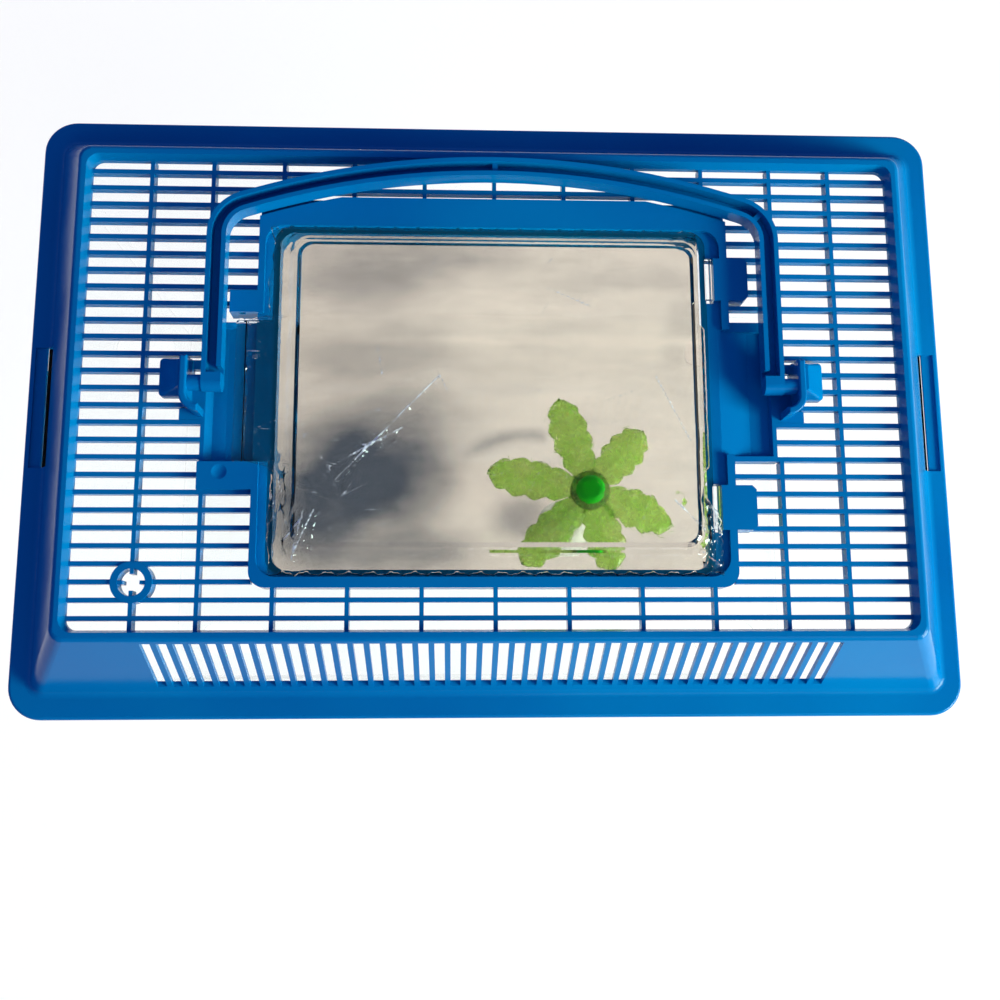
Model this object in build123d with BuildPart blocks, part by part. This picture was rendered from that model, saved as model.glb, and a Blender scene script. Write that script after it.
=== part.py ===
from build123d import *
import math
import os

# Plastic pet carrier: clear tapered tank, hooded slotted lid, clear hatch, folding
# carry handle and a small plastic plant. Millimetres, +Z up, front faces -Y.
# Origin: middle of the footprint, on the plane the tank stands on.

# Common to every piece
MERGE = 0.5
LEVEL_TOL = 0.01
PIN_FIT = 0.05
PIN_SHORT = 0.4

# Tank
TANK_H = 186.5
TANK_WALL = 2.4
TANK_FLOOR = 3.0
TANK_DRAFT = 3.5
TANK_CORNER = 16.0
TANK_HEEL_R = 4.0
TANK_RIM_W = 3.0
TANK_RIM_T = 3.0
FOOT_H = 2.0
FOOT_L = 34.0
FOOT_W = 16.0
FOOT_R = 6.0
FOOT_INSET = 14.0

# Lid envelope
LID_L = 369.7
LID_W = 244.2
LID_CORNER = 13.0
LIP_T = 2.2
LIP_DEPTH = 11.0
LIP_EDGE_R = 1.4
FLANGE_T = 2.2
FLANGE_SIDE = 8.3
FLANGE_FRONT = 9.95
LID_FIT = 0.6
HOOD_H = 35.0
HOOD_DRAFT = 27.8
HOOD_WALL = 1.9
HOOD_CORNER = 5.0
HOOD_FOOT_R = 3.5
CREST_T = 2.0
CREST_W = 2.9
CREST_EDGE_R = 2.2
RECESS = 4.5
RECESS_RUN = 1.0
RECESS_CORNER = 4.0
TRAY_WALL = 1.4
TRAY_DEPTH = 2.0
LOCATOR_T = 2.0
LOCATOR_DEPTH = 5.0
LOCATOR_FIT = 0.4
LOCATOR_END = 22.0
LOCATOR_BREAK = 6.0

# Grille
ROW_COUNT = 27
ROW_MARGIN = 4.26
ROW_RIB = 1.8
ROW_DEPTH = 3.2
COL_INNER = 4
COL_MARGIN = 22.8
COL_END_PITCH = 23.4
COL_RIB = 1.6
COL_DEPTH = 5.0

# Slots in the long walls
SLOT_COUNT = 44
SLOT_PITCH = 5.82
SLOT_W = 3.7
SLOT_TOP = 2.3
SLOT_SILL = 4.6
SLOT_CLEAR = 0.4

# Snap windows in the short sides, with a latch plate hanging from the lip
SNAP_L = 49.0
SNAP_FAR = 10.5
SNAP_CUT = 6.0
SNAP_SINK = 1.0
SNAP_SLOT_IN = 1.9
SNAP_SLOT_W = 2.0
SNAP_SLOT_END = 4.2
LATCH_DEPTH = 16.0
LATCH_Y0 = -24.0
LATCH_Y1 = 19.0
LATCH_CUT = 3.0

# Ring port on the end column of the grille
PORT_FRONT = 17.2
PORT_R = 7.6
PORT_BORE_R = 5.0
PORT_RISE = 0.6
STUB_COUNT = 4
STUB_L = 2.0
STUB_W = 1.4

# Hatch collar, heights measured from the grille plane
COLLAR_X = 89.3
COLLAR_MARGIN = 15.0
COLLAR_CORNER = 6.0
COLLAR_DEPTH = 5.0
COLLAR_RISE = 3.2
COLLAR_LEFT_W = 2.4
COLLAR_RIGHT_W = 2.9
COLLAR_FRONT_W = 3.9
COLLAR_BACK_W = 11.6
SEAT_RISE = 1.2
SEAT_LEDGE = 2.0
OPENING_CORNER = 5.5

# Hatch, hinge places measured outwards from the collar
HATCH_GAP = 0.7
HATCH_HINGE_GAP = 3.5
HATCH_LATCH_GAP = 5.6
HATCH_T = 2.0
HATCH_CORNER = 6.5
PILLOW_RISE = 2.2
PILLOW_LEFT = 6.6
PILLOW_RIGHT = 2.4
PILLOW_FRONT = 8.0
PILLOW_BACK = 3.4
PILLOW_BEVEL = 1.8
FILM_T = 0.4
FILM_GAP = 0.3
FILM_INSET = 2.6
HINGE_OUT = 5.7
KNUCKLE_R = 2.0
HATCH_PIN_R = 1.2
HATCH_PIN_L = 4.0
HINGE_PLATE_Y0 = -28.3
HINGE_PLATE_Y1 = 25.3
HINGE_END = 0.3
HINGE_END_BACK = 3.3
BLOCK_FRONT_T = 10.3
BLOCK_BACK_T = 8.6
DIMPLE_R = 6.0
DIMPLE_IN = 8.2
DIMPLE_FRONT = 3.8
DIMPLE_RISE = 5.3
TONGUE_W = 16.0
TONGUE_Y = 44.3
TONGUE_T = 1.6
LATCH_SHIFT = -0.9
LATCH_HOLE_W = 18.2
KEEPER_OUT = 7.7
KEEPER_IN = 5.4
KEEPER_W = 16.8
KEEPER_CUT = 1.6

# Wings, reaches measured outwards from the collar
WING_LEFT = 19.9
WING_RIGHT = 17.2
WING_LEFT_FLAT = 10.9
WING_RIGHT_FLAT = 7.7
WING_Y0 = -27.2
WING_Y1 = 25.5
WING_DROP = 2.4
WING_LEFT_RISE = -1.0
WING_LIP_IN = 4.3
WING_RIM = 1.6
WING_END_RIM = 2.0
WING_LEFT_RUN = 2.4
WING_RIGHT_RUN = 0.6

# Handle and its brackets
PIVOT_RISE = 6.8
HANDLE_OUT = 18.2
HANDLE_T = 7.2
HANDLE_D = 6.8
HANDLE_MARGIN = 1.2
HANDLE_BACK_R = 305.0
HANDLE_CORNER = 17.0
HANDLE_CLEAR = 0.8
CHANNEL_W = 3.8
CHANNEL_D = 5.2
CHANNEL_START = 3.2
WEB_T = 2.0
WEB_DROP = 1.8
WEB_IN_X = 7.7
WEB_IN_Y = 22.6
WEB_TURN = 45.0
HANDLE_PIN_R = 3.0
ARM_GAP = 5.1
ARM_T = 2.8
ARM_RISE = 10.8
ARM_EDGE_R = 0.8
ARM_Y0 = -4.2
ARM_Y1 = 9.6
BEND_IN = 4.4
GUSSET_LIP = 1.2
GUSSET_RUN = 9.6
GUSSET_Y0 = -3.5
GUSSET_Y1 = 11.2
GUSSET_TOP_Y0 = -2.0
GUSSET_TOP_Y1 = 8.2
GUSSET_RISE = 9.6
GUSSET_CORNER = 1.6
GUSSET_TOP_CORNER = 1.0
TOE_OUT = 1.8
TOE_Y0 = -12.2
TOE_Y1 = -7.8
PAD_Y1 = 10.6
PAD_HOLE_Y0 = 2.8
PAD_HOLE_Y1 = 7.0
PAD_NOTCH_IN = 1.9
PAD_NOTCH_Y1 = -3.5

# Plant
PLANT_X = 47.0
PLANT_Y = -21.6
CROWN_Z = 124.0
LEAF_TURNS = (48.0, 107.0, 168.0, 227.0, 287.0, 339.0)
LEAF_REACHES = (39.0, 46.5, 48.0, 46.0, 38.0, 42.0)
LEAF_DROP = 8.0
LEAF_W = 19.0
LEAF_T = 1.2
LEAF_ROOT = 3.0
LEAF_BLADE_W = 8.5
LEAF_BLADE_SHORT = 4.0
LEAF_TIP_R = 4.1
LOBE_START = 0.9
LOBE_R = (4.6, 5.6, 5.6, 4.6)
HUB_R = 9.4
HUB_T = 2.4
TRUNK_R = 3.8
TRUNK_TOP_R = 3.2
SPIGOT_R = 2.0
CAP_R = 6.6
CAP_H = 5.2
CAP_EDGE_R = 3.2
CAP_SOCKET = 3.0
BASE_R = 16.0
BASE_TOP_R = 8.0
BASE_EDGE_R = 2.0
BASE_H = 6.0
BASE_SOCKET = 3.6

# Heights that follow from the sizes above
TANK_BED = FOOT_H + TANK_FLOOR
FLANGE_TOP = TANK_H + FLANGE_T
LIP_LOW = FLANGE_TOP - LIP_DEPTH
LATCH_LOW = FLANGE_TOP - LATCH_DEPTH
CREST_Z = FLANGE_TOP + HOOD_H
GRILLE_Z = CREST_Z - RECESS
HATCH_Z = GRILLE_Z + SEAT_RISE
HATCH_TOP = HATCH_Z + HATCH_T
PILLOW_TOP = HATCH_TOP + PILLOW_RISE
COLLAR_LOW = GRILLE_Z - COLLAR_DEPTH
COLLAR_TOP = GRILLE_Z + COLLAR_RISE
PIN_Z = HATCH_TOP - KNUCKLE_R
PIVOT_Z = GRILLE_Z + PIVOT_RISE
TRUNK_LOW = TANK_BED + BASE_H

# Plan sizes that follow from the sizes above
HOOD_RUN = HOOD_H * math.tan(math.radians(HOOD_DRAFT))
HOOD_BASE_L = LID_L - 2 * FLANGE_SIDE
HOOD_BASE_W = LID_W - 2 * FLANGE_FRONT
HOOD_TOP_L = HOOD_BASE_L - 2 * HOOD_RUN
HOOD_TOP_W = HOOD_BASE_W - 2 * HOOD_RUN
HOOD_IN_CORNER = HOOD_CORNER - HOOD_WALL
WALL_RUN = HOOD_WALL / math.cos(math.radians(HOOD_DRAFT))
CREST_RUN = WALL_RUN - CREST_T * HOOD_RUN / HOOD_H
PANEL_L = HOOD_TOP_L - 2 * (CREST_W + RECESS_RUN)
PANEL_W = HOOD_TOP_W - 2 * (CREST_W + RECESS_RUN)
ROW_PITCH = (PANEL_W - 2 * ROW_MARGIN) / (ROW_COUNT - 1)
COL_END_X = PANEL_L / 2 - COL_MARGIN
COL_PITCH = (COL_END_X - COL_END_PITCH) / COL_INNER
PORT_X = -COL_END_X
PORT_Y = PORT_FRONT - PANEL_W / 2
COLLAR_Y = PANEL_W / 2 - COLLAR_MARGIN
SEAT_LEFT = COLLAR_LEFT_W - COLLAR_X
SEAT_RIGHT = COLLAR_X - COLLAR_RIGHT_W
SEAT_FRONT = COLLAR_FRONT_W - COLLAR_Y
SEAT_BACK = COLLAR_Y - COLLAR_BACK_W
HATCH_LEFT = SEAT_LEFT + HATCH_HINGE_GAP
HATCH_RIGHT = SEAT_RIGHT - HATCH_LATCH_GAP
HATCH_FRONT = SEAT_FRONT + HATCH_GAP
HATCH_BACK = SEAT_BACK - HATCH_GAP
HATCH_L = HATCH_RIGHT - HATCH_LEFT
HATCH_W = HATCH_BACK - HATCH_FRONT
HATCH_CX = (HATCH_LEFT + HATCH_RIGHT) / 2
HATCH_CY = (HATCH_FRONT + HATCH_BACK) / 2
PILLOW_L = HATCH_L - PILLOW_LEFT - PILLOW_RIGHT
PILLOW_W = HATCH_W - PILLOW_FRONT - PILLOW_BACK
PILLOW_CX = HATCH_CX + (PILLOW_LEFT - PILLOW_RIGHT) / 2
PILLOW_CY = HATCH_CY + (PILLOW_FRONT - PILLOW_BACK) / 2
HINGE_X = -COLLAR_X - HINGE_OUT
PLATE_FRONT = HINGE_PLATE_Y0 - HINGE_END
PLATE_BACK = HINGE_PLATE_Y1 + HINGE_END_BACK
PIN_FRONT = PLATE_FRONT - HATCH_PIN_L
PIN_BACK = PLATE_BACK + HATCH_PIN_L
KEEPER_X = COLLAR_X - KEEPER_IN
WING_LEFT_X = COLLAR_X + WING_LEFT
WING_RIGHT_X = COLLAR_X + WING_RIGHT
WING_LIP_X = COLLAR_X - WING_LIP_IN
HANDLE_X = COLLAR_X + HANDLE_OUT
BLOCK_X = HANDLE_X - HANDLE_T - HANDLE_CLEAR
HANDLE_Y = PANEL_W / 2 - HANDLE_MARGIN
HANDLE_SIDE_Y = HANDLE_Y - HANDLE_BACK_R + math.sqrt(HANDLE_BACK_R ** 2 - HANDLE_X ** 2)
HANDLE_PIN_L = ARM_GAP + ARM_T - PIN_SHORT
ARM_IN = HANDLE_X + ARM_GAP
ARM_OUT = ARM_IN + ARM_T
TANK_RIM_X = LID_L - 2 * (LIP_T + LID_FIT)
TANK_RIM_Y = LID_W - 2 * (LIP_T + LID_FIT)
TANK_TOP_L = TANK_RIM_X - 2 * TANK_RIM_W
TANK_TOP_W = TANK_RIM_Y - 2 * TANK_RIM_W
TANK_RUN = (TANK_H - FOOT_H) * math.tan(math.radians(TANK_DRAFT))
BED_RUN = TANK_RUN * (1 - TANK_FLOOR / (TANK_H - FOOT_H)) + TANK_WALL
LOCATOR_RUN = LOCATOR_DEPTH * math.tan(math.radians(TANK_DRAFT)) + TANK_WALL + LOCATOR_FIT


def slab(length, width, radius, z0, z1, x=0.0, y=0.0, mode=Mode.ADD):
    """Upright slab with rounded corners between two heights."""
    with BuildSketch(Plane.XY.offset(z0)) as outline:
        with Locations((x, y)):
            RectangleRounded(length, width, radius)
    extrude(outline.sketch, amount=z1 - z0, mode=mode)


def block(x0, x1, y0, y1, z0, z1, mode=Mode.ADD):
    """Plain block between two corners."""
    with Locations(((x0 + x1) / 2, (y0 + y1) / 2, (z0 + z1) / 2)):
        Box(abs(x1 - x0), abs(y1 - y0), abs(z1 - z0), mode=mode)


def taper(low, high, mode=Mode.ADD):
    """Drafted shape between two rounded rectangles: length, width, corner and height of each."""
    with BuildSketch(Plane.XY.offset(low[3])) as low_end:
        RectangleRounded(low[0], low[1], low[2])
    with BuildSketch(Plane.XY.offset(high[3])) as high_end:
        RectangleRounded(high[0], high[1], high[2])
    loft([low_end.sketch.face(), high_end.sketch.face()], ruled=True, mode=mode)


def rod(radius, length, x, y, z, turn, mode=Mode.ADD):
    """Cylinder centred on a point and turned to an axis."""
    with Locations(Location((x, y, z), turn)):
        Cylinder(radius, length, mode=mode)


# Outline of the folded handle
with BuildSketch() as bow:
    with BuildLine():
        Line((HANDLE_X, 0), (HANDLE_X, HANDLE_SIDE_Y))
        ThreePointArc((HANDLE_X, HANDLE_SIDE_Y), (0, HANDLE_Y), (-HANDLE_X, HANDLE_SIDE_Y))
        Polyline((-HANDLE_X, HANDLE_SIDE_Y), (-HANDLE_X, 0), (HANDLE_X, 0))
    make_face()
    fillet(vertices().group_by(Axis.Y)[1], HANDLE_CORNER)

# Handle bracket, right-hand one: rounded arm with its bend, drafted gusset and toe
with BuildSketch(Plane.XY.offset(GRILLE_Z - ROW_DEPTH)) as bend:
    with Locations((ARM_IN - BEND_IN, ARM_Y0)):
        Circle(BEND_IN + ARM_T)
        Circle(BEND_IN, mode=Mode.SUBTRACT)
    with Locations(((ARM_OUT + ARM_IN - BEND_IN) / 2, ARM_Y0 - (BEND_IN + ARM_T) / 2)):
        Rectangle(BEND_IN + ARM_T, BEND_IN + ARM_T, mode=Mode.INTERSECT)
    with Locations(((ARM_IN + ARM_OUT) / 2, (ARM_Y0 + ARM_Y1) / 2)):
        Rectangle(ARM_T, ARM_Y1 - ARM_Y0)

with BuildPart() as bracket:
    extrude(bend.sketch, amount=ROW_DEPTH + ARM_RISE)
    fillet(bracket.edges().group_by(Axis.Z)[-1], ARM_EDGE_R)
    gusset_x = (ARM_IN + ARM_OUT + GUSSET_RUN) / 2
    gusset_y = (GUSSET_Y0 + GUSSET_Y1) / 2
    slab(ARM_T + GUSSET_RUN, GUSSET_Y1 - GUSSET_Y0, GUSSET_CORNER, GRILLE_Z - ROW_DEPTH, GRILLE_Z,
         gusset_x, gusset_y)
    with BuildSketch(Plane.XY.offset(GRILLE_Z)) as gusset_foot:
        with Locations((gusset_x, gusset_y)):
            RectangleRounded(ARM_T + GUSSET_RUN, GUSSET_Y1 - GUSSET_Y0, GUSSET_CORNER)
    with BuildSketch(Plane.XY.offset(GRILLE_Z + GUSSET_RISE)) as gusset_top:
        with Locations(((ARM_IN + ARM_OUT + GUSSET_LIP) / 2, (GUSSET_TOP_Y0 + GUSSET_TOP_Y1) / 2)):
            RectangleRounded(ARM_T + GUSSET_LIP, GUSSET_TOP_Y1 - GUSSET_TOP_Y0, GUSSET_TOP_CORNER)
    loft([gusset_foot.sketch.face(), gusset_top.sketch.face()], ruled=True)
    block(ARM_IN - MERGE, ARM_OUT + TOE_OUT, TOE_Y0, TOE_Y1, GRILLE_Z - ROW_DEPTH, GRILLE_Z)

# Tank with rolled rim and moulded feet
with BuildPart() as tank:
    taper((TANK_TOP_L - 2 * TANK_RUN, TANK_TOP_W - 2 * TANK_RUN, TANK_CORNER, FOOT_H),
          (TANK_TOP_L, TANK_TOP_W, TANK_CORNER, TANK_H))
    fillet(tank.edges().group_by(Axis.Z)[0], TANK_HEEL_R)
    slab(TANK_RIM_X, TANK_RIM_Y, LID_CORNER - LIP_T - LID_FIT, TANK_H - TANK_RIM_T, TANK_H)
    taper((TANK_TOP_L - 2 * BED_RUN, TANK_TOP_W - 2 * BED_RUN, TANK_CORNER - TANK_WALL, TANK_BED),
          (TANK_TOP_L - 2 * TANK_WALL, TANK_TOP_W - 2 * TANK_WALL, TANK_CORNER - TANK_WALL, TANK_H),
          mode=Mode.SUBTRACT)
    foot_x = TANK_TOP_L / 2 - TANK_RUN - FOOT_INSET - FOOT_L / 2
    foot_y = TANK_TOP_W / 2 - TANK_RUN - FOOT_INSET - FOOT_W / 2
    for side in (-1, 1):
        for end in (-1, 1):
            slab(FOOT_L, FOOT_W, FOOT_R, 0, FOOT_H + MERGE, side * foot_x, end * foot_y)
tank.part.label = "tank"

# Lid, from the hood outwards; the slots and ribs come last
with BuildPart() as lid:
    taper((HOOD_BASE_L, HOOD_BASE_W, HOOD_CORNER, FLANGE_TOP),
          (HOOD_TOP_L, HOOD_TOP_W, HOOD_CORNER, CREST_Z))
    slab(LID_L, LID_W, LID_CORNER, LIP_LOW, FLANGE_TOP)
    fillet(lid.edges().filter_by_position(Axis.Z, CREST_Z - LEVEL_TOL, CREST_Z + LEVEL_TOL), CREST_EDGE_R)
    mid_x = (LID_L + HOOD_BASE_L) / 4
    mid_y = (LID_W + HOOD_BASE_W) / 4
    level = lid.edges().filter_by_position(Axis.Z, FLANGE_TOP - LEVEL_TOL, FLANGE_TOP + LEVEL_TOL)
    fillet([e for e in level if abs(e.center().X) < mid_x and abs(e.center().Y) < mid_y], HOOD_FOOT_R)
    level = lid.edges().filter_by_position(Axis.Z, FLANGE_TOP - LEVEL_TOL, FLANGE_TOP + LEVEL_TOL)
    fillet([e for e in level if abs(e.center().X) > mid_x or abs(e.center().Y) > mid_y], LIP_EDGE_R)
    slab(LID_L - 2 * LIP_T, LID_W - 2 * LIP_T, LID_CORNER - LIP_T, LIP_LOW, TANK_H, mode=Mode.SUBTRACT)
    slab(HOOD_BASE_L - 2 * WALL_RUN, HOOD_BASE_W - 2 * WALL_RUN, HOOD_IN_CORNER,
         TANK_H, FLANGE_TOP, mode=Mode.SUBTRACT)
    taper((HOOD_BASE_L - 2 * WALL_RUN, HOOD_BASE_W - 2 * WALL_RUN, HOOD_IN_CORNER, FLANGE_TOP),
          (HOOD_TOP_L - 2 * CREST_RUN, HOOD_TOP_W - 2 * CREST_RUN, HOOD_IN_CORNER, CREST_Z - CREST_T),
          mode=Mode.SUBTRACT)

    # Locating bars that drop just inside the tank wall, broken at the snap windows
    for side in (-1, 1):
        near = side * (TANK_TOP_W / 2 - LOCATOR_RUN)
        far = HOOD_BASE_L / 2 - LOCATOR_END
        block(-far, far, near, near - side * LOCATOR_T, TANK_H - LOCATOR_DEPTH, TANK_H + MERGE)
        near = side * (TANK_TOP_L / 2 - LOCATOR_RUN)
        for end in (-1, 1):
            block(near, near - side * LOCATOR_T, end * (SNAP_L / 2 + LOCATOR_BREAK),
                  end * (HOOD_BASE_W / 2 - LOCATOR_END), TANK_H - LOCATOR_DEPTH, TANK_H + MERGE)

    # Tray wall round the recessed panel
    slab(PANEL_L + 2 * TRAY_WALL, PANEL_W + 2 * TRAY_WALL, RECESS_CORNER + TRAY_WALL,
         GRILLE_Z - TRAY_DEPTH, CREST_Z - CREST_T / 2)
    slab(PANEL_L, PANEL_W, RECESS_CORNER, GRILLE_Z - TRAY_DEPTH, GRILLE_Z, mode=Mode.SUBTRACT)
    taper((PANEL_L, PANEL_W, RECESS_CORNER, GRILLE_Z),
          (PANEL_L + 2 * RECESS_RUN, PANEL_W + 2 * RECESS_RUN, RECESS_CORNER + RECESS_RUN, CREST_Z),
          mode=Mode.SUBTRACT)

    # Snap windows: a sunk place in each short side with an angled slot that frees the lip,
    # which carries a latch plate
    for side in (-1, 1):
        lip_in = side * (LID_L / 2 - LIP_T)
        snap_in = side * (LID_L / 2 - SNAP_FAR)
        slot_far = snap_in + side * (SNAP_SLOT_IN + SNAP_SLOT_W)
        block(snap_in, lip_in, -SNAP_L / 2, SNAP_L / 2,
              FLANGE_TOP - SNAP_SINK, FLANGE_TOP + SNAP_CUT, mode=Mode.SUBTRACT)
        block(snap_in + side * SNAP_SLOT_IN, slot_far, -SNAP_L / 2, SNAP_L / 2,
              TANK_H, FLANGE_TOP, mode=Mode.SUBTRACT)
        block(snap_in, slot_far, SNAP_L / 2 - SNAP_SLOT_END, SNAP_L / 2,
              TANK_H, FLANGE_TOP, mode=Mode.SUBTRACT)
        with BuildSketch(Plane.YZ.offset(lip_in)) as latch:
            with BuildLine():
                Polyline((LATCH_Y0, LIP_LOW + MERGE), (LATCH_Y0, LATCH_LOW + LATCH_CUT),
                         (LATCH_Y0 + LATCH_CUT, LATCH_LOW), (LATCH_Y1, LATCH_LOW),
                         (LATCH_Y1, LIP_LOW + MERGE), close=True)
            make_face()
        extrude(latch.sketch, amount=side * LIP_T)

    # Ring port with its stubs
    with Locations((PORT_X, PORT_Y, GRILLE_Z + (PORT_RISE - COL_DEPTH) / 2)):
        Cylinder(PORT_R, COL_DEPTH + PORT_RISE)
        Cylinder(PORT_BORE_R, COL_DEPTH + PORT_RISE, mode=Mode.SUBTRACT)
        with PolarLocations(PORT_BORE_R - (STUB_L - MERGE) / 2, STUB_COUNT):
            Box(STUB_L + MERGE, STUB_W, COL_DEPTH)

    # Hatch collar, cut back where the folded handle lies
    slab(2 * COLLAR_X, 2 * COLLAR_Y, COLLAR_CORNER, COLLAR_LOW, COLLAR_TOP)
    with BuildSketch(Plane.XY.offset(GRILLE_Z)):
        with Locations((0, COLLAR_Y)):
            Rectangle(2 * COLLAR_X, COLLAR_Y)
        Rectangle(2 * COLLAR_X, 2 * COLLAR_Y, mode=Mode.INTERSECT)
        offset(bow.sketch, amount=-HANDLE_T - HANDLE_CLEAR, mode=Mode.SUBTRACT)
    extrude(amount=COLLAR_RISE, mode=Mode.SUBTRACT)

    # Left wing: a shallow tray between the hinge and the handle
    with BuildSketch(Plane.XZ.offset(-WING_Y1)) as left_wing:
        with BuildLine():
            Polyline((-WING_LEFT_X, COLLAR_LOW), (-WING_LEFT_X, GRILLE_Z),
                     (WING_RIM - WING_LEFT_X, GRILLE_Z),
                     (WING_RIM + WING_LEFT_RUN - WING_LEFT_X, GRILLE_Z - WING_DROP),
                     (-COLLAR_X - WING_LEFT_FLAT, GRILLE_Z - WING_DROP),
                     (MERGE - COLLAR_X, GRILLE_Z + WING_LEFT_RISE),
                     (MERGE - COLLAR_X, COLLAR_LOW), close=True)
        make_face()
    extrude(left_wing.sketch, amount=WING_Y1 - PLATE_FRONT + MERGE)
    block(-WING_LEFT_X, HINGE_X - KNUCKLE_R - HINGE_END, WING_Y1 - WING_END_RIM, WING_Y1,
          COLLAR_LOW, GRILLE_Z)

    # Hinge blocks at the left with bores for the hatch pins; the front one runs on as a
    # dimpled pad, low enough for the handle to lie forward over it
    block(-WING_LEFT_X, MERGE - COLLAR_X, PLATE_FRONT - BLOCK_FRONT_T, PLATE_FRONT, COLLAR_LOW, COLLAR_TOP)
    block(-BLOCK_X, MERGE - COLLAR_X, PLATE_BACK, PLATE_BACK + BLOCK_BACK_T, COLLAR_LOW, COLLAR_TOP)
    with Locations((DIMPLE_IN - WING_LEFT_X, PLATE_FRONT - DIMPLE_FRONT, COLLAR_TOP + DIMPLE_RISE)):
        Sphere(DIMPLE_R, mode=Mode.SUBTRACT)
    rod(HATCH_PIN_R + PIN_FIT, PIN_BACK - PIN_FRONT, HINGE_X, (PIN_FRONT + PIN_BACK) / 2, PIN_Z,
        (90, 0, 0), mode=Mode.SUBTRACT)

    # Seat, opening and the notch for the hinge plate
    slab(SEAT_RIGHT - SEAT_LEFT, SEAT_BACK - SEAT_FRONT, HATCH_CORNER + HATCH_GAP, HATCH_Z, COLLAR_TOP,
         (SEAT_LEFT + SEAT_RIGHT) / 2, (SEAT_FRONT + SEAT_BACK) / 2, mode=Mode.SUBTRACT)
    slab(HATCH_L - 2 * SEAT_LEDGE, HATCH_W - 2 * SEAT_LEDGE, OPENING_CORNER, COLLAR_LOW, HATCH_Z,
         HATCH_CX, HATCH_CY, mode=Mode.SUBTRACT)
    block(-COLLAR_X - MERGE, SEAT_LEFT + MERGE, PLATE_FRONT, PLATE_BACK, HATCH_Z, COLLAR_TOP + MERGE,
          mode=Mode.SUBTRACT)

    # Right wing: a finger recess that runs in over the collar to the hatch's free edge
    block(WING_LIP_X, COLLAR_X + MERGE, WING_Y0 + WING_END_RIM, WING_Y1 - WING_END_RIM,
          COLLAR_LOW, COLLAR_TOP, mode=Mode.SUBTRACT)
    with BuildSketch(Plane.XZ.offset(-WING_Y1)) as right_wing:
        with BuildLine():
            Polyline((WING_RIGHT_X, COLLAR_LOW), (WING_RIGHT_X, GRILLE_Z),
                     (WING_RIGHT_X - WING_RIM, GRILLE_Z),
                     (WING_RIGHT_X - WING_RIM - WING_RIGHT_RUN, GRILLE_Z - WING_DROP),
                     (COLLAR_X + WING_RIGHT_FLAT, GRILLE_Z - WING_DROP),
                     (WING_LIP_X, HATCH_Z), (WING_LIP_X, COLLAR_LOW), close=True)
        make_face()
    extrude(right_wing.sketch, amount=WING_Y1 - WING_Y0)
    for y in (WING_Y0, WING_Y1 - WING_END_RIM):
        block(COLLAR_X - MERGE, WING_RIGHT_X, y, y + WING_END_RIM, COLLAR_LOW, GRILLE_Z)

    # Keepers beside the latch tongues, each with a hole through the seat in front of it
    for side in (-1, 1):
        latch_y = LATCH_SHIFT + side * TONGUE_Y
        with BuildSketch(Plane.XY.offset(COLLAR_LOW)) as keeper:
            with Locations(((KEEPER_X + COLLAR_X + KEEPER_OUT) / 2, latch_y)):
                Rectangle(KEEPER_IN + KEEPER_OUT, KEEPER_W)
            chamfer(keeper.vertices().group_by(Axis.X)[-1], KEEPER_CUT)
        extrude(keeper.sketch, amount=COLLAR_TOP - COLLAR_LOW)
        block(HATCH_RIGHT, KEEPER_X, latch_y - LATCH_HOLE_W / 2, latch_y + LATCH_HOLE_W / 2,
              COLLAR_LOW, HATCH_Z, mode=Mode.SUBTRACT)

    # Handle brackets and the pads that tie them to the wings
    add(bracket.part)
    mirror(bracket.part, about=Plane.YZ)
    for side, wing_x in ((-1, WING_LEFT_X), (1, WING_RIGHT_X)):
        block(side * (wing_x - MERGE), side * (ARM_IN + MERGE), TOE_Y0, PAD_Y1,
              GRILLE_Z - ROW_DEPTH, GRILLE_Z)
        block(side * wing_x, side * ARM_IN, PAD_HOLE_Y0, PAD_HOLE_Y1,
              GRILLE_Z - ROW_DEPTH, GRILLE_Z, mode=Mode.SUBTRACT)
    with BuildSketch(Plane.XY.offset(GRILLE_Z - ROW_DEPTH)) as notch:
        with Locations(((WING_RIGHT_X + PAD_NOTCH_IN + ARM_IN) / 2, (TOE_Y1 + PAD_NOTCH_Y1) / 2)):
            Rectangle(ARM_IN - WING_RIGHT_X - PAD_NOTCH_IN, PAD_NOTCH_Y1 - TOE_Y1)
        add(bend.sketch, mode=Mode.SUBTRACT)
    extrude(notch.sketch, amount=ROW_DEPTH, mode=Mode.SUBTRACT)
    rod(HANDLE_PIN_R + PIN_FIT, 2 * ARM_OUT, 0, 0, PIVOT_Z, (0, 90, 0), mode=Mode.SUBTRACT)

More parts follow.
